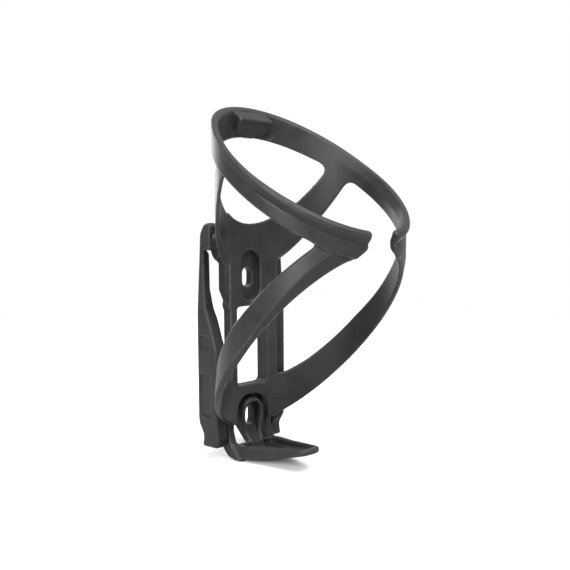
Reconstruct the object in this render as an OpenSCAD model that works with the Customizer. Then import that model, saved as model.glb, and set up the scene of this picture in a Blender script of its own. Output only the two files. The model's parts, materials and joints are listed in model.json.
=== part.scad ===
// Water bottle cage for a bicycle frame, with a tyre lever clipped to each side.
// Origin: midway between the two frame bolts, on the plane where the cage meets the frame.
// +X points from the frame towards the bottle, +Z up along the bottle, +Y to the left.

/* [Bottle] */
// diameter of the bottle that the cage grips
bottle_d = 74; // [73:0.5:75]
// gap between the frame and the bottle
seat_gap = 6.5; // [6:0.5:7]
// thickness of the curved walls around the bottle
wall = 3; // [2.6:0.2:3.4]

/* [Frame bolts] */
// width of the two bolt slots, for M5 bolts
slot_w = 5.4; // [5.2:0.1:5.8]
// end to end length of the bolt slots
slot_len = 9; // [8:0.5:10]
// thickness of the floor that a bolt head clamps
slot_floor = 4; // [3.2:0.2:4.2]

/* [Ring] */
// height of the ring's middle on the bottle's axis
ring_z = 74.7; // [73:0.5:76]
// height of the ring band, square to its own plane
ring_band = 9.4; // [8.6:0.2:10]
// how far the lip stands out from the band
lip_out = 1.5; // [1:0.1:1.8]
// height of the lip
lip_band = 2.2; // [1.8:0.1:2.6]
// half of the open gap between the ring's front ends
gap_half = 7; // [6.5:0.5:8]

/* [Spine] */
// half of the spine's width
spine_half = 13.8; // [13.4:0.1:13.9]
// half of the window between the rails
window_half = 8.75; // [8.25:0.25:9]

/* [Levers] */
// how far a lever swings out on its hook
lever_swing = 30; // [20:1:30]
// thickness of a lever's body
lever_t = 6; // [5.8:0.1:6.4]
// radius of the hook's round end
bead_r = 1.5; // [1.4:0.1:1.6]
// clearance between the round end and the lever's socket
hook_gap = 0.05; // [0.03:0.01:0.08]

/* [Hidden] */
$fn = 48;
fine = 180;                    // sides of the large cylinders around the bottle
arc_steps = 6;
black = [0.07, 0.07, 0.075];

bolt_spacing = 64;             // standard for bottle cages
upper_z = bolt_spacing / 2;
lower_z = -bolt_spacing / 2;
inner_r = bottle_d / 2;
outer_r = inner_r + wall;
axis_x = seat_gap + inner_r;   // where the bottle's axis stands
far = 100;                     // longer than anything that it cuts

ring_tilt = 35;                // the front of the ring is low
band_rise = ring_band / cos(ring_tilt);
ring_low_z = ring_z - band_rise / 2;
lip_step = 2.2;                // ledge inside the lip, at the front
lip_back = 0.2;                // what is left of the lip at the back
end_step = 0.8;                // the lip reaches this far past the ring's end face
end_corner_z = ring_low_z - 34.7 * tan(ring_tilt) + 1.5;

strut_slope = 55;
strut_front_z = 28.6;          // heights of the strut's two edges at the frame plane
strut_back_z = 46.6;
arm_top_z = -23.4;             // heights of the arm's two edges at the frame plane
arm_low_z = -40.4;
arm_taper = 3.2;               // how much narrower an arm is at the ring, mostly from below

crown_z = 55.7;                // lowest point of the curve between the struts
crown_r = 24.3;
boss_top_z = 43.5;
boss_low_z = 19.3;
window_low_z = -17;
rail_back = 4;                 // the outer edge of a rail stops short of the frame plane
saddle_low_z = -34;

recess_half = 5.6;             // pocket for the upper bolt's head
recess_len = 22.5;
groove_half = 9.4;             // opening around the lower bolt boss
groove_top_z = -21.6;
groove_floor_z = -27.5;
groove_floor = 2.5;
collar_half = 6.4;
collar_top_z = -23.2;
collar_wall = 1.9;

leg_half = 13.2;
tongue_back = 3.4;             // the tongue under the boss leaves the frame plane as it drops
tongue_half = 3;               // and it tapers to this half width at the foot
foot_rear = 7;
tray_rear = 9;                 // a low wall closes the foot's tray at the back
foot_top_z = -43;
foot_nose_x = 46.5;

lug_half = 9.5;

lever_in = spine_half + 0.3;   // inner face of a lever
lever_out = lever_in + lever_t;
neck_in = lever_out - 4.2;
hook_y = 17;                   // axis on which a lever swings
hook_z = 50.5;
socket_r = bead_r + hook_gap;
lip_angle = 55 - lever_swing;  // the head's lip leaves room for the swing
hook_back = -4.6;
head_back = -4.9;
head_front = 2.4;
lever_low_z = -44.6;
nub_r = 1.5;
nub_x = 2.5;
nub_z = -24;

// ---- outlines with rounded corners: each point is [x, y] or [x, y, radius] ----
function unit(v) = v / norm(v);
function flat(p) = [p[0], p[1]];
function turn(a) = a > 180 ? a - 360 : a < -180 ? a + 360 : a;
function corner(before, p, after) =
    let (r = len(p) > 2 ? p[2] : 0)
    r == 0 ? [flat(p)] :
    let (
        u = unit(flat(before) - flat(p)),
        v = unit(flat(after) - flat(p)),
        half = acos(u * v) / 2,
        centre = flat(p) + unit(u + v) * r / sin(half),
        from = flat(p) + u * r / tan(half) - centre,
        to = flat(p) + v * r / tan(half) - centre,
        a0 = atan2(from[1], from[0]),
        sweep = turn(atan2(to[1], to[0]) - a0)
    )
    [for (i = [0:arc_steps])
        centre + r * [cos(a0 + sweep * i / arc_steps), sin(a0 + sweep * i / arc_steps)]];
function rounded(points) =
    let (n = len(points))
    [for (i = [0:n - 1]) each corner(points[(i + n - 1) % n], points[i], points[(i + 1) % n])];

// the same points on the other side of the middle plane, in reverse order
function other_side(points) =
    [for (i = [len(points) - 1:-1:0])
        [for (k = [0:len(points[i]) - 1]) k == 0 ? -points[i][0] : points[i][k]]];

// ---- shared shapes ----
// an outline drawn in X and Z, carried from y = low to y = high
module side_view(points, low, high) {
    translate([0, high, 0])
        rotate([90, 0, 0])
            linear_extrude(height = high - low)
                polygon(rounded(points));
}

// an outline drawn in Y and Z, carried from x = low to x = high
module front_view(points, low, high) {
    translate([low, 0, 0])
        rotate([90, 0, 90])
            linear_extrude(height = high - low)
                polygon(rounded(points));
}

// an outline drawn in X and Y, carried from z = low to z = high
module top_view(points, low, high) {
    translate([0, 0, low])
        linear_extrude(height = high - low)
            polygon(rounded(points));
}

module bottle(r) {
    translate([axis_x, 0, -far])
        cylinder(r = r, h = 2.5 * far, $fn = fine);
}

module sleeve(r_out) {
    difference() {
        bottle(r_out);
        bottle(inner_r);
    }
}

module slot(z, width, length, x0, x1) {
    reach = (length - width) / 2;
    for (dz = [-reach, reach])
        translate([x0, 0, z + dz])
            rotate([0, 90, 0])
                cylinder(d = width, h = x1 - x0);
    translate([x0, -width / 2, z - reach])
        cube([x1 - x0, width, 2 * reach]);
}

// puts a part drawn on the left on the left or the right of the cage
module hand(side) {
    flip = side == "left" ? 0 : 1;
    mirror([0, flip, 0])
        children();
}

// both levers are the same part, so the left one is the right one turned about the Z axis
module turned() {
    mirror([1, 0, 0])
        children();
}

// tilted slab in which the ring lies; low and high are heights from its middle plane
module ring_slab(low, high) {
    translate([axis_x, 0, ring_z])
        rotate([0, ring_tilt, 0])
            translate([-far, -far, low])
                cube([2 * far, 2 * far, high - low]);
}

module front_gap() {
    wide = gap_half + end_step;
    lip_z = end_corner_z + 3.4;
    edge = [
        [gap_half, far], [gap_half, lip_z + end_step], [wide, lip_z],
        [wide, end_corner_z, 2.5], [wide + 5, end_corner_z - 3.5],
        [wide + 16, end_corner_z - 14.5], [wide + 16, -far]
    ];
    front_view(concat(edge, other_side(edge)), axis_x, far);
}

// ---- ring ----
// a cylinder that stands outside the given one by lip_back at the back and by more at the front
module flare(r, at_front) {
    translate([(at_front - lip_back) / 2, 0, 0])
        bottle(r + (at_front + lip_back) / 2);
}

// the lip flares out fully at the front and almost runs out at the back
module lip_sleeve() {
    difference() {
        flare(outer_r, lip_out);
        flare(inner_r, lip_step);
    }
}

module ring() {
    color(black)
        difference() {
            union() {
                intersection() {
                    sleeve(outer_r);
                    ring_slab(-ring_band / 2, ring_band / 2 - lip_band);
                }
                intersection() {
                    lip_sleeve();
                    ring_slab(ring_band / 2 - lip_band, ring_band / 2);
                }
            }
            front_gap();
        }
}

// wedge inside the back of the ring that drops into the bottle's neck groove
module ring_lug() {
    outline = [
        [seat_gap - 1, 105.5], [seat_gap + 1, 105.2], [seat_gap + 5.6, 101.6, 0.8],
        [seat_gap + 4.6, 99.6, 0.8], [seat_gap + 0.6, 95.2], [seat_gap - 1, 95.2]
    ];
    color(black)
        intersection() {
            side_view(outline, -lug_half, lug_half);
            bottle(inner_r);
        }
}

module below_ring() {
    translate([axis_x, 0, ring_z])
        rotate([0, ring_tilt, 0])
            translate([-2 * far, -far, -ring_band / 2 - 2 * far])
                cube([4 * far, 2 * far, 2 * far]);
}

module beside_spine() {
    translate([-far, spine_half, -far])
        cube([3 * far, far, 3 * far]);
}

module curved_bar(outline) {
    color(black)
        difference() {
            intersection() {
                sleeve(outer_r);
                side_view(outline, 0, far);
                below_ring();
                beside_spine();
            }
            front_gap();
        }
}

module strut() {
    rise = tan(strut_slope);
    curved_bar([
        [-10, strut_front_z - 10 * rise], [axis_x, strut_front_z + axis_x * rise],
        [axis_x, strut_back_z + axis_x * rise], [-10, strut_back_z - 10 * rise]
    ]);
}

module arm() {
    root_x = 9.1;
    end_x = 2 * axis_x;
    curved_bar([
        [end_x, arm_top_z + end_x - 1.2], [axis_x, arm_top_z + axis_x],
        [root_x, arm_top_z + root_x, 8], [-10, arm_top_z + root_x], [-10, saddle_low_z],
        [saddle_low_z - arm_low_z, saddle_low_z], [axis_x, arm_low_z + axis_x],
        [end_x, arm_low_z + end_x + arm_taper]
    ]);
}

// ---- spine ----
module crown() {
    translate([-1, 0, crown_z + crown_r])
        rotate([0, 90, 0])
            cylinder(r = crown_r, h = 20, $fn = fine);
}

module upper_mount() {
    boss = [
        [0, 39.2], [0, 26.7], [2.6, 22.4], [rail_back, boss_low_z],
        [20, boss_low_z], [20, boss_top_z], [3.5, boss_top_z]
    ];
    plate = [
        [-spine_half, boss_low_z], [spine_half, boss_low_z], [spine_half, 62], [-spine_half, 62]
    ];
    color(black)
        difference() {
            union() {
                intersection() {
                    sleeve(outer_r);
                    front_view(plate, -1, 20);
                }
                side_view(boss, -spine_half, spine_half);
            }
            bottle(inner_r);
            crown();
            slot(upper_z + 0.8, 2 * recess_half, recess_len, slot_floor, 20);
            slot(upper_z, slot_w, slot_len, -1, 20);
        }
}

module rail() {
    outline = [
        [0.3, window_half], [20, window_half], [20, spine_half],
        [rail_back, spine_half], [0.3, window_half + 1.9]
    ];
    color(black)
        difference() {
            top_view(outline, window_low_z, boss_low_z);
            bottle(inner_r);
        }
}

module groove_outline(low, high) {
    front_view([
        [-groove_half, -60], [groove_half, -60],
        [groove_half, groove_top_z, 8], [-groove_half, groove_top_z, 8]
    ], low, high);
}

// a small nub on each flank that sits in the lever's dimple
module nub() {
    translate([nub_x, spine_half - nub_r + 0.6, nub_z])
        sphere(r = nub_r);
}

module saddle() {
    color(black)
        difference() {
            union() {
                side_view([
                    [0.3, window_low_z], [0, -20], [0, saddle_low_z],
                    [20, saddle_low_z], [20, window_low_z]
                ], -spine_half, spine_half);
                nub();
                mirror([0, 1, 0])
                    nub();
            }
            bottle(inner_r);
            groove_outline(-1, 20);
        }
}

// an arch around the lower bolt that tapers down to the foot
module tongue_view(half_top, half_low, top_z, low, high) {
    front_view([
        [-half_low, -46], [half_low, -46], [half_top, lower_z, 12],
        [half_top, top_z, half_top - 0.1], [-half_top, top_z, half_top - 0.1], [-half_top, lower_z, 12]
    ], low, high);
}

module lower_mount() {
    back = [
        [0, groove_top_z], [0, -36, 4], [tongue_back, -40.5, 6], [foot_rear, -45],
        [foot_rear + 3.4, -45], [foot_rear + 3.4, foot_top_z - 0.3, 3], [seat_gap, -38, 5],
        [seat_gap + 0.6, groove_top_z]
    ];
    pocket = [
        [slot_floor, groove_top_z], [slot_floor, -36, 4], [foot_rear - 1, -39.6, 4],
        [foot_rear + 4, -43.6], [20, -43.6], [20, groove_top_z]
    ];
    color(black)
        difference() {
            union() {
                intersection() {
                    tongue_view(collar_half, tongue_half, collar_top_z, -1, 20);
                    side_view(back, -collar_half, collar_half);
                }
                intersection() {
                    groove_outline(0, groove_floor);
                    translate([-1, -far, groove_floor_z])
                        cube([20, 2 * far, far]);
                }
            }
            bottle(inner_r);
            intersection() {
                tongue_view(collar_half - collar_wall, tongue_half - 1, collar_top_z - collar_wall, -1, 20);
                side_view(pocket, -collar_half, collar_half);
            }
            slot(lower_z, slot_w, slot_len, -1, 20);
            foot();
        }
}

// ---- legs and foot ----
leg_outline = [
    [0, saddle_low_z], [0, -40, 6], [1.2, -45.2, 4], [4.6, -48.6, 4], [8.4, -49.4, 4],
    [14.6, -49.2], [11.4, -47.3, 6], [7.2, -42.9, 6], [5.4, -37, 6], [5.4, saddle_low_z]
];

module leg() {
    color(black)
        side_view(leg_outline, groove_half, leg_half);
}

module foot() {
    side = [
        [foot_rear, foot_top_z], [foot_nose_x, -38.6, 1], [foot_nose_x, -41.2, 1],
        [33, -44.8], [16.5, -48.5], [foot_rear, -48.9]
    ];
    plan = [
        [foot_rear, -11.9], [14, -11.6], [26, -8.4], [foot_nose_x, -5, 4.6],
        [foot_nose_x, 5, 4.6], [26, 8.4], [14, 11.6], [foot_rear, 11.9]
    ];
    tray = [
        [tray_rear, -40], [tray_rear, -45.6], [16, -46], [28, -43.9], [42, -40.8], [44, -38]
    ];
    tray_plan = [
        [tray_rear, -9.6], [14, -9.6], [26, -6.6], [foot_nose_x - 2.4, -3.8, 3.4],
        [foot_nose_x - 2.4, 3.8, 3.4], [26, 6.6], [14, 9.6], [tray_rear, 9.6]
    ];
    color(black)
        difference() {
            intersection() {
                side_view(side, -20, 20);
                top_view(plan, -60, 0);
            }
            intersection() {
                side_view(tray, -20, 20);
                top_view(tray_plan, -60, 0);
            }
            side_view(leg_outline, groove_half, 20);
            side_view(leg_outline, -20, -groove_half);
        }
}

// ---- lever hooks and levers ----
module bead(r, x0, x1) {
    translate([x0, hook_y, hook_z])
        rotate([0, 90, 0])
            cylinder(r = r, h = x1 - x0);
}

// drawn on the left; the bar runs from x = back to x = front
module lever_hook(back, front) {
    half_bar = [0.756, -0.489];   // half of the bar's thickness, square to its slope
    side = [
        [0, 39.2], [back, 44.5], [back, 53], [front, 53], [max(front, 3.6), boss_top_z + 1],
        [3.5, boss_top_z]
    ];
    slope = [
        [12, 38], [spine_half, 38], [spine_half, 44.6],
        [hook_y + half_bar[0], hook_z + half_bar[1]],
        [hook_y - half_bar[0], hook_z - half_bar[1]], [12, 45.3]
    ];
    color(black) {
        intersection() {
            side_view(side, 0, 20);
            front_view(slope, -10, 10);
        }
        bead(bead_r, back + 0.5, front - 0.5);
    }
}

// drawn on the left, with its straight edge at the back
module tyre_lever() {
    side = [
        [-7.6, -31, 3], [-7.2, -34, 3], [-4.0, -39, 5], [-5.3, lever_low_z, 1], [4.6, -43.8, 1],
        [6.6, -39.6, 2], [5.6, -33, 4], [5.7, 0, 5], [2.2, 9.4, 16], [-1.4, 18.5, 12],
        [-2.3, 27, 16], [-2.7, 44.5], [head_front, 44.5, 1], [head_front, 56, 2], [-1.5, 57.2, 3],
        [head_back, 52, 5], [-5.8, 38.8, 20], [-7.6, 16, 30]
    ];
    front = [
        [lever_in, lever_low_z - 1], [lever_in, 14, 8], [neck_in, 27, 8], [neck_in, 43, 2],
        [hook_y + socket_r, 45.8], [hook_y + socket_r, hook_z], [hook_y, hook_z],
        [hook_y - 3 * cos(lip_angle), hook_z + 3 * sin(lip_angle)], [lever_in + 0.2, 56.2, 1.5],
        [16, 57.6, 2], [lever_out, 57.2, 2.4], [lever_out, -33, 10], [lever_out - 0.9, lever_low_z - 1]
    ];
    plan = [
        [-5.2, lever_in - 1], [10, lever_in - 1], [10, lever_out + 1], [-8, lever_out + 1],
        [-8, lever_in + 5.6], [-5.2, lever_in]
    ];
    color(black)
        difference() {
            intersection() {
                side_view(side, 0, 25);
                front_view(front, -10, 10);
                top_view(plan, -60, 60);
            }
            bead(socket_r, -10, 10);
            for (x = [-nub_x, nub_x])
                translate([x, spine_half - nub_r + 0.6, nub_z])
                    sphere(r = nub_r + 0.15);
            side_view([[-6.2, -30.2, 0.8], [1.6, -30.2, 0.8], [1.6, -11.5, 0.8], [-6.2, -11.5, 0.8]],
                lever_out - 0.6, 25);
            side_view([[-6.2, 0.6, 0.8], [1, 0.6, 2], [1, 6, 2], [-6.2, 6, 0.8]],
                lever_out - 0.4, 25);
        }
}

ring();
ring_lug();
hand("left") strut();  // strut_left
hand("right") strut();  // strut_right
hand("left") arm();  // arm_left
hand("right") arm();  // arm_right
upper_mount();
hand("left") rail();  // rail_left
hand("right") rail();  // rail_right
saddle();
lower_mount();
hand("left") leg();  // leg_left
hand("right") leg();  // leg_right
foot();
hand("left") lever_hook(-head_front, -hook_back);  // lever_hook_left
hand("right") lever_hook(hook_back, head_front);  // lever_hook_right
turned() tyre_lever();  // tyre_lever_left
hand("right") tyre_lever();  // tyre_lever_right
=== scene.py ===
"""A bicycle bottle cage moulded in black nylon, with a tyre lever clipped to each side.

Each moulding is one signed distance field in millimetres, turned into a quad mesh here.
"""
import json
import math
import bpy
import numpy as np
from mathutils import Matrix, Vector


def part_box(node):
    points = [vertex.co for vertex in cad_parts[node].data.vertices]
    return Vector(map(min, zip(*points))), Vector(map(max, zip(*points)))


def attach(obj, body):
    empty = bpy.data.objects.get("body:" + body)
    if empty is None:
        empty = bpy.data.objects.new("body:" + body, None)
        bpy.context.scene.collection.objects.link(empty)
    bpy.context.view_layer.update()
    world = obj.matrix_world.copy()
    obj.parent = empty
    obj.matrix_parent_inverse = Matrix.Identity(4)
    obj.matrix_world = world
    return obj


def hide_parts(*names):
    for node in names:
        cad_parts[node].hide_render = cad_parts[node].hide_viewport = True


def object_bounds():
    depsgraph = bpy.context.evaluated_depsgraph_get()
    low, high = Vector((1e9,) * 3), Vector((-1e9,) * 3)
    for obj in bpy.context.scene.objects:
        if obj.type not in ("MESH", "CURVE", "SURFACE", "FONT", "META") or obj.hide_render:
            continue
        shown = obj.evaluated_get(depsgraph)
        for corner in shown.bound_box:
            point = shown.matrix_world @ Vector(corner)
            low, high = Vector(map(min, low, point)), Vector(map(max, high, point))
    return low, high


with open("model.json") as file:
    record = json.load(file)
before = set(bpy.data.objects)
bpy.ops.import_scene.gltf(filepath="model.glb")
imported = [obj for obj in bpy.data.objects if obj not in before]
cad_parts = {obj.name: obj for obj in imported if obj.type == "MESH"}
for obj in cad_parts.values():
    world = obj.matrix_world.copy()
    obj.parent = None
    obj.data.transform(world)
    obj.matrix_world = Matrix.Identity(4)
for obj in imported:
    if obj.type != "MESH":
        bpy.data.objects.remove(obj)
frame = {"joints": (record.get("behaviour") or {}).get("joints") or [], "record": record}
cad_low, cad_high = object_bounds()

MM = 0.001
CELL = 0.45

# ---- sizes taken from the frame, in millimetres ----
mounts = {m["name"]: m for m in frame["record"]["mounts"]}
hinge = {j["name"]: j for j in frame["joints"]}["lever_left_swing"]["pos_m"]


def node_box(node):
    low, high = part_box(node)
    return np.array(low) / MM, np.array(high) / MM


ring_high = node_box("ring")[1]
boss_low, boss_high = node_box("upper_mount")
rail_low, rail_high = node_box("rail_left")
saddle_low = node_box("saddle")[0]
tongue_high = node_box("lower_mount")[1]
leg_low, leg_high = node_box("leg_left")
foot_low, foot_high = node_box("foot")
right_hook_low, right_hook_high = node_box("lever_hook_right")
right_lever_low, right_lever_high = node_box("tyre_lever_right")
lug_high = node_box("ring_lug")[1]

INNER_R = mounts["bottle"]["dims"]["r_mm"]
AXIS_X = mounts["bottle"]["pos_m"][0] / MM
RING_Z = mounts["bottle"]["pos_m"][2] / MM
UPPER_Z = mounts["frame_bolts"]["dims"]["spacing_y_mm"] / 2
LOWER_Z = -UPPER_Z
SLOT_R = mounts["frame_bolts"]["dims"]["hole_r_mm"]
SLOT_REACH = mounts["frame_bolts"]["dims"]["slot_length_mm"] / 2 - SLOT_R
HINGE_Y, HINGE_Z = hinge[1] / MM, hinge[2] / MM

WALL = 3.0
OUTER_R = INNER_R + WALL
SPINE_HALF = boss_high[1]
WINDOW_HALF = rail_low[1]
SLOT_FLOOR = 4.0

# ---- the ring's own sizes ----
TILT = math.radians(35)
BAND_HALF = 4.7
GAP_HALF = 7.0
LIP_GROOVE = 0.25               # how deep the wall dips under the lip
LIP_OUT = math.hypot(ring_high[0] - AXIS_X, GAP_HALF) - OUTER_R

# ---- slopes of the struts and arms, drawn from the side ----
STRUT_SLOPE = math.radians(55)
STRUT_Z = 37.6                  # where the strut's middle line meets the frame plane
STRUT_HALF = 9 * math.cos(STRUT_SLOPE)
ARM_TOP_Z, ARM_LOW_Z = -23.4, -39.3
ARM_HALF = (ARM_TOP_Z - ARM_LOW_Z) / 2 * math.sqrt(0.5)
CROWN_R, CROWN_Z = 24.3, 54.8   # the curve between the struts, and its lowest point

# ---- where the levers meet the cage ----
HOOK_Y, HOOK_Z = 12, 42.0       # where a hook's bar leaves the flank
BEAD_R, SOCKET_R = 1.5, 1.7
NUB_X, NUB_Z, NUB_SUNK = 2.5, -24, 0.9  # a nub that steadies a lever's lower half
NUB_R, DIMPLE_R = 1.5, 1.75


# ---- fields: negative inside, arrays of any shape that broadcast ----
def blend_min(a, b, k):
    """The union of two fields with a fillet about k wide."""
    h = np.clip(0.5 + 0.5 * (b - a) / k, 0, 1)
    return b + (a - b) * h - k * h * (1 - h)


def blend_max(a, b, k):
    """What two fields share, with the edge between them rounded."""
    return -blend_min(-a, -b, k)


def smooth(a, low, high):
    """0 below low, 1 above high, and an S-curve between."""
    t = np.clip((a - low) / (high - low), 0, 1)
    return t * t * (3 - 2 * t)


def rounded(points, steps=5):
    """An outline's points, with each [u, v, radius] corner turned into an arc."""
    out = []
    for i, point in enumerate(points):
        here = np.array(point[:2], float)
        if len(point) < 3:
            out.append(here)
            continue
        before = np.array(points[i - 1][:2], float)
        after = np.array(points[(i + 1) % len(points)][:2], float)
        u = (before - here) / np.linalg.norm(before - here)
        v = (after - here) / np.linalg.norm(after - here)
        half = math.acos(np.clip(u @ v, -1, 1)) / 2
        centre = here + (u + v) / np.linalg.norm(u + v) * point[2] / math.sin(half)
        start = here + u * point[2] / math.tan(half) - centre
        end = here + v * point[2] / math.tan(half) - centre
        a0 = math.atan2(start[1], start[0])
        sweep = (math.atan2(end[1], end[0]) - a0 + math.pi) % (2 * math.pi) - math.pi
        for step in range(steps + 1):
            a = a0 + sweep * step / steps
            out.append(centre + point[2] * np.array([math.cos(a), math.sin(a)]))
    return np.array(out)


def outline(u, v, points):
    """Distance to a closed outline in the plane of u and v."""
    corners = rounded(points)
    nearest = np.float32(1e9)
    inside = False
    for (au, av), (bu, bv) in zip(corners, np.roll(corners, -1, axis=0)):
        eu, ev = bu - au, bv - av
        if eu * eu + ev * ev < 1e-9:
            continue
        t = np.clip(((u - au) * eu + (v - av) * ev) / (eu * eu + ev * ev), 0, 1)
        nearest = np.minimum(nearest, (u - au - eu * t) ** 2 + (v - av - ev * t) ** 2)
        left = eu * (v - av) - ev * (u - au) > 0
        inside = inside ^ (((av <= v) != (bv <= v)) & (left == (bv > av)))
    distance = np.sqrt(nearest)
    return np.where(inside, -distance, distance)


def both_sides(points):
    """The points given for one side, then the same points mirrored."""
    mirrored = [[-p[0], *p[1:]] for p in reversed(points)]
    return points + mirrored


def slot_field(y, z, middle, reach, radius):
    return np.hypot(y, np.maximum(np.abs(z - middle) - reach, 0)) - radius


# ---- the cage ----
def ring_height(x, z):
    """Height above the ring's middle plane, square to it."""
    return (x - AXIS_X) * math.sin(TILT) + (z - RING_Z) * math.cos(TILT)


def pattern(x, side, z, r):
    """Ring, struts, arms and spine as a cut-out pattern on the wall around the bottle."""
    height = ring_height(x, z)
    ring = np.maximum(height - BAND_HALF, -height - BAND_HALF - 0.7 * smooth(34 - x, 0, 20))
    across = (z - x * math.tan(STRUT_SLOPE) - STRUT_Z) * math.cos(STRUT_SLOPE)
    strut = np.maximum(np.abs(across) - STRUT_HALF, height)
    spread = AXIS_X + (x - AXIS_X) * OUTER_R / np.maximum(r, 20)
    arm = outline(spread, z, [
        [87, 60.7], [64, 39.0, 20], [49.4, 25.3, 20], [36.8, 14.2, 20], [14, -8.2, 20],
        [8.3, -13.3, 2], [-12, -13.3],
        [-12, saddle_low[2]], [saddle_low[2] - ARM_LOW_Z, saddle_low[2], 4],
        [AXIS_X, 3.6, 20], [64, 25.0, 20], [87, 49.0],
    ])
    arm = np.maximum(np.maximum(arm, height), SPINE_HALF - 1 - side)
    crown = CROWN_R - np.hypot(side, z - CROWN_R - CROWN_Z)
    crown = blend_max(crown, across - STRUT_HALF - 0.4, 2.0)
    plate = np.maximum(np.maximum(side - SPINE_HALF, crown), boss_low[2] - z)
    plate = np.maximum(plate, x - AXIS_X)
    shape = blend_min(ring, strut, 5.0)
    shape = blend_min(shape, arm, 3.0)
    return blend_min(shape, plate, 4.0)


def outer_radius(x, z):
    """Radius of the wall's outside: a lip that flares out in front, and arms with a ridge."""
    height = ring_height(x, z)
    flare = np.clip((height - 0.4) / 2.8, 0, 1)
    lip = smooth(x, 34, 58) * ((LIP_OUT + LIP_GROOVE) * flare - LIP_GROOVE * smooth(height, 0, 0.6))
    across = (z - x - (ARM_TOP_Z + ARM_LOW_Z) / 2) * math.sqrt(0.5)
    ridge = -0.3 - 0.16 * np.clip(76 - x, 0, 26)
    upper = np.clip((across - ridge) / (ARM_HALF - ridge), 0, 1.2)
    lower = np.clip((ridge - across) / (ARM_HALF + ridge), 0, 1.2)
    on_arm = smooth(-height, BAND_HALF - 0.2, BAND_HALF + 0.7) * smooth(x, 6, 22)
    return OUTER_R + lip - on_arm * (1.3 * upper + 1.3 * lower)


def inner_radius(x, z):
    """Radius of the wall's inside, which flares out under the lip towards the front."""
    return INNER_R + 2.2 * smooth(x, 22, 56) * np.clip((ring_height(x, z) - 0.1) / 4.6, 0, 1)


def front_gap(side, z):
    """The open gap between the ring's front ends; their lips reach a little into it."""
    body, lip_z = GAP_HALF + 0.9, 51.0
    return outline(side, z, [
        [-60, 140], [GAP_HALF + 1.2, 140],
        [GAP_HALF, lip_z + 2.6, 1.4], [GAP_HALF + 0.2, lip_z + 1, 0.8],
        [body, lip_z - 0.4, 0.8], [body, 46.2, 2.4], [body + 5, 42.7], [body + 16, 31.7],
        [body + 16, -80], [-60, -80],
    ])


def spine(x, side, z):
    """The upper boss, two rails and the saddle, thick from the bottle back to the frame."""
    boss = outline(x, z, [
        [0, 39.2, 1], [0, 26.7, 2], [2.6, 22.4, 2], [4, boss_low[2], 0.8], [20, boss_low[2]],
        [20, boss_high[2] + 2], [7, 47], [3.5, 43.5, 2],
    ])
    boss = blend_max(boss, side - SPINE_HALF, 1.2)
    rail = outline(x, side, [
        [rail_low[0], WINDOW_HALF, 0.6], [20, WINDOW_HALF], [20, SPINE_HALF],
        [4, SPINE_HALF, 1], [rail_low[0], WINDOW_HALF + 1.9, 0.6],
    ])
    rail = np.maximum(rail, np.abs(z - (rail_low[2] + rail_high[2]) / 2)
                      - (rail_high[2] - rail_low[2]) / 2 - 1)
    saddle = outline(x, z, [
        [0.3, rail_low[2], 0.5], [0, -20], [0, saddle_low[2], 1.5], [20, saddle_low[2]],
        [20, rail_low[2]],
    ])
    saddle = blend_max(saddle, side - SPINE_HALF, 2.4)
    shape = blend_min(rail, boss, 2.4)
    return blend_min(shape, saddle, 2.4)


def arch(y, z, half_top, half_low, top):
    """An arch around the lower bolt that tapers down to the foot."""
    return outline(y, z, both_sides([
        [half_low, -47], [half_top, LOWER_Z, 12], [half_top, top, half_top - 0.1],
    ]))


def lower_mount(x, y, z):
    collar = 6.4
    back = outline(x, z, [
        [0, -21], [0, -36, 4], [3.4, -40.5, 6], [foot_low[0], -45.5], [11, -46],
        [10.6, -43.2, 3], [7.2, -38, 5], [8, -21],
    ])
    body = blend_max(arch(y, z, collar, 3.0, tongue_high[2] - 1.6), back, 0.9)
    web = np.maximum(np.abs(x - 1.3) - 1.2, np.abs(z + 24.5) - 3.5)
    web = np.maximum(web, np.abs(y) - 9.6)
    pocket = outline(x, z, [
        [SLOT_FLOOR, -20], [SLOT_FLOOR, -36, 4], [6.2, -39.6, 4], [11.4, -43.6], [20, -43.6], [20, -20],
    ])
    pocket = blend_max(arch(y, z, collar - 1.9, 1.6, tongue_high[2] - 3.5), pocket, 0.6)
    return blend_max(blend_min(body, web, 0.8), -pocket, 0.6)


def leg(x, side, z):
    shape = outline(x, z, [
        [0, saddle_low[2] + 3], [0, -40, 6], [1.2, -45.2, 4], [4.6, -48.6, 4],
        [8.4, foot_low[2] - 0.35, 4], [14.4, -49.05, 0.6], [11.4, -47.3, 6], [7.2, -42.9, 6],
        [5.4, -37, 6], [5.4, saddle_low[2] + 3],
    ])
    middle = (leg_low[1] + leg_high[1]) / 2
    return blend_max(shape, np.abs(side - middle) - (leg_high[1] - leg_low[1]) / 2, 1.0)


def foot(x, y, z):
    """The shelf under the bottle, with a shallow tray in its top."""
    nose = foot_high[0]
    side_view = outline(x, z, [
        [foot_low[0], -43, 0.8], [nose, -38.6, 1.2], [nose, -41.2, 1.2], [33, -44.8, 20],
        [16.5, -48.4], [foot_low[0], -48.8],
    ])
    plan = outline(y, x, both_sides([
        [11.9, foot_low[0]], [11.6, 14, 6], [8.4, 26, 30], [5, nose, 4.6],
    ]))
    body = blend_max(side_view, plan, 1.4)
    tray_side = outline(x, z, [
        [9, -38], [9, -45.6, 1], [16, -46, 3], [28, -43.9], [42, -40.8, 4], [45, -37],
    ])
    tray_plan = outline(y, x, both_sides([
        [9.4, 9, 1.5], [9.4, 14, 6], [6.4, 26, 30], [3.6, nose - 2.4, 3.2],
    ]))
    return blend_max(body, -blend_max(tray_side, tray_plan, 1.2), 0.9)


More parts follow.
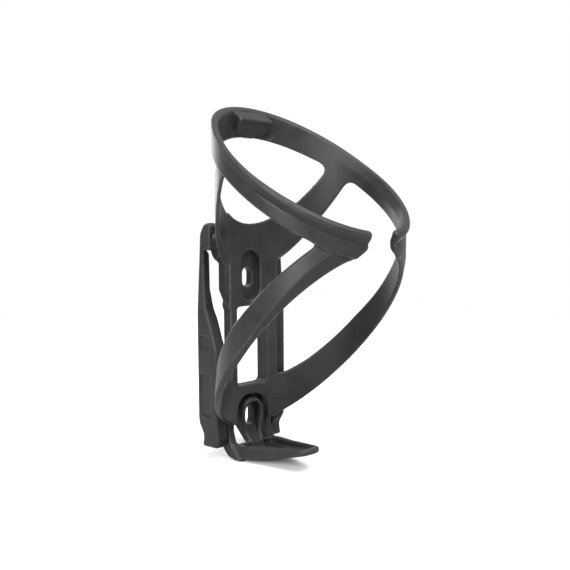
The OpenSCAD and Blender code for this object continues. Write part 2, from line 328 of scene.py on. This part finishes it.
def ring_lug(x, y, z):
    """The wedge inside the back of the ring."""
    shape = outline(x, z, [
        [4.5, 105.9], [7.5, 105.2, 1], [12.1, 101.6, 1], [11.1, 99.6, 1.2], [7.1, 95.2, 1.5],
        [4.5, 94.2],
    ])
    return blend_max(shape, np.abs(y) - lug_high[1], 0.8)


def lever_hook(x, y, z):
    """A sloping bar on each flank that ends in a round bead, on which a lever hangs.

    The left hook faces the other way along X, because its lever is turned round.
    """
    side, on_left = np.abs(y), y > 0
    back, front = right_hook_low[0], right_hook_high[0]
    bar_u = np.array([HINGE_Y - HOOK_Y, HINGE_Z - HOOK_Z])
    along = np.clip(((side - HOOK_Y) * bar_u[0] + (z - HOOK_Z) * bar_u[1]) / (bar_u @ bar_u), 0, 1)
    bar = np.hypot(side - HOOK_Y - along * bar_u[0], z - HOOK_Z - along * bar_u[1]) - 0.95
    bar = blend_min(bar, np.hypot(side - HOOK_Y, z - 41.6) - 3.2, 1.5)
    facing_right = outline(x, z, [
        [0, 39.2], [back, 44.5], [back, 53], [front, 53], [4.5, 43],
    ])
    facing_left = outline(x, z, [
        [0, 39.2], [-front, 44.5], [-front, 53], [-back, 53], [-back, 43],
    ])
    bar = blend_max(bar, np.where(on_left, facing_left, facing_right), 0.6)
    middle = np.where(on_left, -1, 1) * (back + front) / 2
    bead = np.hypot(side - HINGE_Y, z - HINGE_Z) - BEAD_R
    bead = blend_max(bead, np.abs(x - middle) - (front - back) / 2 + 0.5, 0.6)
    return blend_min(bar, bead, 0.5)


def cage_field(x, y, z):
    side = np.abs(y)
    r = np.hypot(x - AXIS_X, y)
    wall = blend_max(pattern(x, side, z, r), r - outer_radius(x, z), 1.0)
    wall = np.where(x > AXIS_X, blend_max(wall, -front_gap(side, z), 0.8), wall)
    shape = blend_min(wall, spine(x, side, z), 1.4)
    groove = outline(side, z, [
        [-20, -70], [9.4, -70], [9.4, -21.6, 8], [-20, -21.6],
    ])
    shape = blend_max(shape, -groove, 1.0)
    shape = blend_max(shape, inner_radius(x, z) - r, 0.8)
    recess = np.maximum(slot_field(y, z, UPPER_Z + 0.8, 5.65, 5.6), SLOT_FLOOR - x)
    shape = blend_max(shape, -recess, 0.9)
    nub = (x - NUB_X) ** 2 + (side - SPINE_HALF + NUB_SUNK) ** 2 + (z - NUB_Z) ** 2
    shape = blend_min(shape, np.sqrt(nub) - NUB_R, 0.4)
    shape = blend_min(shape, leg(x, side, z), 1.6)
    base = blend_min(lower_mount(x, y, z), foot(x, y, z), 1.6)
    shape = blend_min(shape, base, 1.2)
    shape = blend_min(shape, np.maximum(ring_lug(x, y, z), r - OUTER_R + 1), 0.6)
    shape = blend_min(shape, lever_hook(x, y, z), 0.8)
    for middle in (UPPER_Z, LOWER_Z):
        shape = blend_max(shape, -slot_field(y, z, middle, SLOT_REACH, SLOT_R), 0.5)
    return shape + mould_marks(x, y, z)


def mould_marks(x, y, z):
    """An ejector pin's round mark inside the ring, and a small square insert's outline."""
    pin_y, pin_z, pin_r = 11.0, 96.5, 2.3
    square_x, square_z, square_half = 9.4, -23.6, 2.1
    pin = np.hypot(y - pin_y, z - pin_z) + np.maximum(x - AXIS_X, 0)
    pin_mark = 0.16 * smooth(pin_r - pin, -0.15, 0.15)
    pin_rim = 0.1 * smooth(0.45 - np.abs(pin - pin_r), 0, 0.2)
    square = np.maximum(np.abs(x - square_x), np.abs(z - square_z)) + 50 * (y < 0)
    line = 0.14 * smooth(0.42 - np.abs(square - square_half), 0, 0.25)
    return pin_mark - pin_rim + line


# ---- a tyre lever, drawn to the left of the cage with its straight edge at the back ----
def lever_field(x, y, z):
    inside, outside = -right_lever_high[1], -right_lever_low[1]
    neck = outside - 4.1
    side_view = outline(x, z, [
        [-7.6, -31, 3], [-7.2, -34, 3], [-4.0, -39, 5], [-5.3, right_lever_low[2] + 0.1, 1],
        [4.6, -43.8, 1], [6.6, -39.6, 2], [5.6, -33, 4], [5.7, 0, 5], [2.2, 9.4, 16],
        [-1.4, 18.5, 12], [-2.3, 27, 16], [-2.7, 44.5, 1], [2.3, 44.5, 1], [2.3, 56, 2],
        [-1.5, 57.2, 3], [-4.9, 52, 5], [-5.8, 38.8, 20], [-7.6, 16, 30],
    ])
    plan = outline(x, y, [
        [-5.2, inside - 1], [10, inside - 1], [10, outside + 1], [-8, outside + 1],
        [-8, inside + 5.6], [-5.2, inside, 1],
    ])
    front_view = outline(y, z, [
        [inside, -60], [inside, 14, 10], [neck, 27, 10], [neck, 43, 1],
        [HINGE_Y + 1.7, 45.8, 0.5], [HINGE_Y + 1.7, HINGE_Z], [HINGE_Y, HINGE_Z],
        [HINGE_Y - 2.7, HINGE_Z + 1.3, 0.4], [inside + 0.2, 56.2, 1.5], [16, 57.6, 2],
        [outside, 57.2, 2.4], [outside, -33, 10], [outside - 0.9, -60],
    ])
    shape = blend_max(blend_max(side_view, front_view, 1.1), plan, 0.6)
    socket = np.hypot(y - HINGE_Y, z - HINGE_Z) - SOCKET_R
    shape = blend_max(shape, -socket, 0.3)
    dimple = (np.abs(x) - NUB_X) ** 2 + (y - SPINE_HALF + NUB_SUNK) ** 2 + (z - NUB_Z) ** 2
    shape = blend_max(shape, DIMPLE_R - np.sqrt(dimple), 0.3)
    label = outline(x, z, [
        [-6.3, -30.2, 0.6], [1.6, -30.2, 0.6], [1.6, -11.5, 0.6], [-6.3, -11.5, 0.6],
    ])
    pad = outline(x, z, [
        [-6.3, 0.6, 0.6], [1, 0.6, 1.8], [1, 6, 1.8], [-6.3, 6, 0.6],
    ])
    shape = blend_max(shape, -blend_max(label, outside - 0.6 - y, 0.3), 0.4)
    return blend_max(shape, -blend_max(pad, outside - 0.45 - y, 0.3), 0.4)


# ---- from a field to a mesh ----
CORNERS = np.array([[i, j, k] for i in (0, 1) for j in (0, 1) for k in (0, 1)])
EDGES = [
    (a, b) for a in range(8) for b in range(a + 1, 8)
    if np.abs(CORNERS[a] - CORNERS[b]).sum() == 1
]


def slope(field, points, step):
    """The field's value, its gradient and its Laplacian at the points."""
    value = field(*points.T)
    gradient, total = np.zeros_like(points), -6 * value
    for axis in range(3):
        offset = np.zeros(3)
        offset[axis] = step
        ahead, behind = field(*(points + offset).T), field(*(points - offset).T)
        gradient[:, axis] = (ahead - behind) / (2 * step)
        total = total + ahead + behind
    return value, gradient, total / step ** 2


def surface(field, low, high, cell):
    """Quads where the field is zero: one vertex in each cell that the surface crosses."""
    axes = [np.arange(a, b + cell, cell, dtype=np.float32) for a, b in zip(low, high)]
    grid = field(axes[0][:, None, None], axes[1][None, :, None], axes[2][None, None, :])
    inside = grid < 0
    size = [n - 1 for n in inside.shape]
    count = sum(
        inside[i:i + size[0], j:j + size[1], k:k + size[2]].astype(np.uint8)
        for i, j, k in CORNERS
    )
    cells = np.argwhere((count > 0) & (count < 8))
    index = np.full(size, -1, np.int64)
    index[tuple(cells.T)] = np.arange(len(cells))
    at = [grid[tuple((cells + corner).T)] for corner in CORNERS]
    total, hits = np.zeros((len(cells), 3)), np.zeros(len(cells))
    for a, b in EDGES:
        crossed = (at[a] < 0) != (at[b] < 0)
        t = np.where(crossed, at[a] / np.where(crossed, at[a] - at[b], 1), 0)
        total += crossed[:, None] * (CORNERS[a] + t[:, None] * (CORNERS[b] - CORNERS[a]))
        hits += crossed
    points = (cells + total / hits[:, None]) * cell + np.array([a[0] for a in axes])
    quads = []
    for axis in range(3):
        u, v = np.eye(3, dtype=int)[[(axis + 1) % 3, (axis + 2) % 3]]
        behind = np.take(inside, range(inside.shape[axis] - 1), axis)
        ahead = np.take(inside, range(1, inside.shape[axis]), axis)
        for here, flipped in ((behind & ~ahead, False), (ahead & ~behind, True)):
            start = np.argwhere(here)
            ring = [index[tuple((start - shift).T)] for shift in (0 * u, u, u + v, v)]
            quads.append(np.stack(ring[::-1] if flipped else ring, axis=1))
    return points, np.concatenate(quads)


def settle(field, points, cell):
    """Moves the vertices onto the zero level, and returns how sharp the surface is there."""
    for _ in range(3):
        value, gradient = slope(field, points, 0.02)[:2]
        steep = np.maximum((gradient ** 2).sum(1), 0.25)
        shift = np.clip(value / steep, -cell / 2, cell / 2)
        points = points - shift[:, None] * gradient
    bend = slope(field, points, 0.5)[2]
    return points, bend


def make_piece(name, field, low, high, mirrored=None):
    """Meshes a field; mirrored is the axis that the piece is then mirrored along, if any."""
    points, quads = surface(field, low - 1.5 * CELL, high + 1.5 * CELL, CELL)
    points, bend = settle(field, points, CELL)
    if mirrored is not None:
        points[:, mirrored] *= -1
        quads = quads[:, ::-1]
    mesh = bpy.data.meshes.new(name)
    mesh.from_pydata((points * MM).tolist(), [], quads.tolist())
    mesh.validate()
    mesh.polygons.foreach_set("use_smooth", np.ones(len(mesh.polygons), bool))
    # the first mark is for convex edges, painted paler both as wear and as a painted highlight; the
    # second is for hollows and creases, where painted shade dims the shine
    for label, sign in (("edge_wear_and_highlight", 1), ("painted_crease_shade", -1)):
        layer = mesh.attributes.new(label, "FLOAT", "POINT")
        layer.data.foreach_set("value", np.clip(sign * bend / 2.5, 0, 1).astype(np.float32))
    piece = bpy.data.objects.new(name, mesh)
    bpy.context.scene.collection.objects.link(piece)
    return piece


# ---- materials ----
def node(tree, kind, **values):
    made = tree.nodes.new(kind)
    for key, value in values.items():
        setattr(made, key, value)
    return made


def noise(tree, coordinates, scale, detail, distortion=0.0):
    made = node(tree, "ShaderNodeTexNoise")
    made.inputs["Scale"].default_value = scale
    made.inputs["Detail"].default_value = detail
    made.inputs["Distortion"].default_value = distortion
    tree.links.new(coordinates, made.inputs["Vector"])
    return made.outputs["Fac"]


def ramp(tree, value, low, high, out_low, out_high):
    made = node(tree, "ShaderNodeMapRange")
    limits = {"From Min": low, "From Max": high, "To Min": out_low, "To Max": out_high}
    for socket, number in limits.items():
        made.inputs[socket].default_value = number
    tree.links.new(value, made.inputs["Value"])
    return made.outputs["Result"]


def combine(tree, operation, a, b):
    made = node(tree, "ShaderNodeMath", operation=operation)
    for socket, value in zip(made.inputs, (a, b)):
        if isinstance(value, (int, float)):
            socket.default_value = value
        else:
            tree.links.new(value, socket)
    return made.outputs["Value"]


def moulded_nylon(name, shade, grain):
    """Black glass-filled nylon: spark-eroded grain, faint flow marks, edges paler for wear and a
    painted highlight, and painted shade in creases.
    """
    material = bpy.data.materials.new(name)
    material.use_nodes = True
    tree = material.node_tree
    shader = tree.nodes["Principled BSDF"]
    place = node(tree, "ShaderNodeTexCoord").outputs["Object"]
    # convex edges: a paler colour along them, as wear and as a painted highlight
    lit_and_worn_edge = node(tree, "ShaderNodeAttribute", attribute_name="edge_wear_and_highlight").outputs["Fac"]
    fine = noise(tree, place, 2600, 3)
    cloud = noise(tree, place, 70, 4, 0.6)
    patchy = ramp(tree, noise(tree, place, 420, 3), 0.35, 0.65, 0.2, 1)
    rubbed_and_highlit = combine(tree, "MULTIPLY", ramp(tree, lit_and_worn_edge, 0.15, 0.7, 0, 1), patchy)
    colour = node(tree, "ShaderNodeMix", data_type="RGBA")
    # the colour sockets A, B and Result of a mix node are inputs 6 and 7 and output 2
    colour.inputs[6].default_value = (shade, shade, shade * 1.04, 1)
    # B is the paler colour, used for worn edges, the painted edge highlight and flow marks
    colour.inputs[7].default_value = (shade * 4, shade * 4, shade * 4.1, 1)
    # how pale: wear with a painted highlight along edges, plus random flow marks
    pale = combine(tree, "ADD", combine(tree, "MULTIPLY", rubbed_and_highlit, 0.8),
                   ramp(tree, cloud, 0.35, 0.7, 0, 0.22))
    # hollows and creases: the shine is turned down there as painted shade
    shade_in_creases = node(tree, "ShaderNodeAttribute", attribute_name="painted_crease_shade").outputs["Fac"]
    shine = ramp(tree, shade_in_creases, 0.1, 0.8, 0.15, 0.04)
    tree.links.new(shine, shader.inputs["Specular IOR Level"])
    tree.links.new(pale, colour.inputs[0])
    tree.links.new(colour.outputs[2], shader.inputs["Base Color"])
    rough = combine(tree, "SUBTRACT", ramp(tree, cloud, 0.3, 0.7, 0.42, 0.52),
                    combine(tree, "MULTIPLY", rubbed_and_highlit, 0.1))
    rough = combine(tree, "ADD", rough, ramp(tree, fine, 0.3, 0.7, -0.04, 0.04))
    tree.links.new(rough, shader.inputs["Roughness"])
    bump = node(tree, "ShaderNodeBump")
    bump.inputs["Strength"].default_value = grain
    bump.inputs["Distance"].default_value = 0.00004
    tree.links.new(fine, bump.inputs["Height"])
    tree.links.new(bump.outputs["Normal"], shader.inputs["Normal"])
    return material


# ---- pieces ----
cage_plastic = moulded_nylon("cage nylon", 0.008, 0.5)
lever_plastic = moulded_nylon("lever nylon", 0.008, 0.35)

cage_nodes = frame["record"]["behaviour"]["bodies"]["cage"]
cage_low = np.min([node_box(n)[0] for n in cage_nodes], axis=0)
cage_high = np.max([node_box(n)[1] for n in cage_nodes], axis=0)
cage = make_piece("bottle_cage", cage_field, cage_low, cage_high)
cage.data.materials.append(cage_plastic)
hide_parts(*cage_nodes)
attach(cage, "cage")

# both levers are one part, so the left one is the right one turned about the Z axis
drawn_low = np.array([right_lever_low[0], -right_lever_high[1], right_lever_low[2]])
drawn_high = np.array([right_lever_high[0], -right_lever_low[1], right_lever_high[2]])
for hand, axis in (("left", 0), ("right", 1)):
    lever = make_piece(f"lever_{hand}_moulding", lever_field, drawn_low, drawn_high, axis)
    lever.data.materials.append(lever_plastic)
    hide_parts(f"tyre_lever_{hand}")
    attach(lever, f"lever_{hand}")


# ---- floor, light and camera ----
def flat_material(name, colour, roughness):
    material = bpy.data.materials.new(name)
    material.use_nodes = True
    shader = material.node_tree.nodes["Principled BSDF"]
    shader.inputs["Base Color"].default_value = (*colour, 1)
    shader.inputs["Roughness"].default_value = roughness
    return material


def make_floor():
    half, level = 0.6, cad_low[2] - 0.0002
    mesh = bpy.data.meshes.new("floor")
    corners = [(-half, -half), (half, -half), (half, half), (-half, half)]
    mesh.from_pydata([(a, b, level) for a, b in corners], [], [(0, 1, 2, 3)])
    floor = bpy.data.objects.new("floor", mesh)
    floor.data.materials.append(flat_material("pale floor", (0.55, 0.55, 0.55), 0.8))
    bpy.context.scene.collection.objects.link(floor)


def soft_light(name, place, size, power):
    lamp = bpy.data.lights.new(name, "AREA")
    lamp.shape = "RECTANGLE"
    lamp.size, lamp.size_y = size
    lamp.energy = power
    lamp_object = bpy.data.objects.new(name, lamp)
    lamp_object.location = place
    lamp_object.rotation_mode = "QUATERNION"
    target = (cad_low + cad_high) / 2
    lamp_object.rotation_quaternion = (target - Vector(place)).to_track_quat("-Z", "Y")
    bpy.context.scene.collection.objects.link(lamp_object)


def make_camera():
    """The photograph's viewing angle: from the front and the right, a little above level."""
    eye = Vector((0.26147, -0.22196, 0.05553))
    turn, tip, roll = math.radians(43.68), math.radians(4.6), math.radians(-0.31)
    back = Vector((math.cos(turn) * math.cos(tip), -math.sin(turn) * math.cos(tip), math.sin(tip)))
    right = Vector((math.sin(turn), math.cos(turn), 0))
    up = back.cross(right)
    right, up = (right * math.cos(roll) + up * math.sin(roll),
                 up * math.cos(roll) - right * math.sin(roll))
    data = bpy.data.cameras.new("camera")
    data.sensor_width = 36
    data.lens = 47.15
    camera = bpy.data.objects.new("camera", data)
    camera.matrix_world = Matrix.LocRotScale(
        eye, Matrix((right, up, back)).transposed(), None)
    data.clip_start = 0.01
    bpy.context.scene.collection.objects.link(camera)
    bpy.context.scene.camera = camera


def make_world():
    world = bpy.data.worlds.new("studio")
    world.use_nodes = True
    background = world.node_tree.nodes["Background"]
    background.inputs["Color"].default_value = (1, 1, 1, 1)
    background.inputs["Strength"].default_value = 1.0
    bpy.context.scene.world = world


bpy.context.scene.view_settings.view_transform = "Standard"
make_floor()
make_world()
soft_light("overhead", (0.38, 0, 0.68), (0.5, 0.5), 14)
soft_light("key", (0.24, -0.76, 0.34), (0.3, 0.4), 13)
soft_light("rim from behind", (-0.75, 0.16, 0.3), (0.3, 0.5), 4)
make_camera()
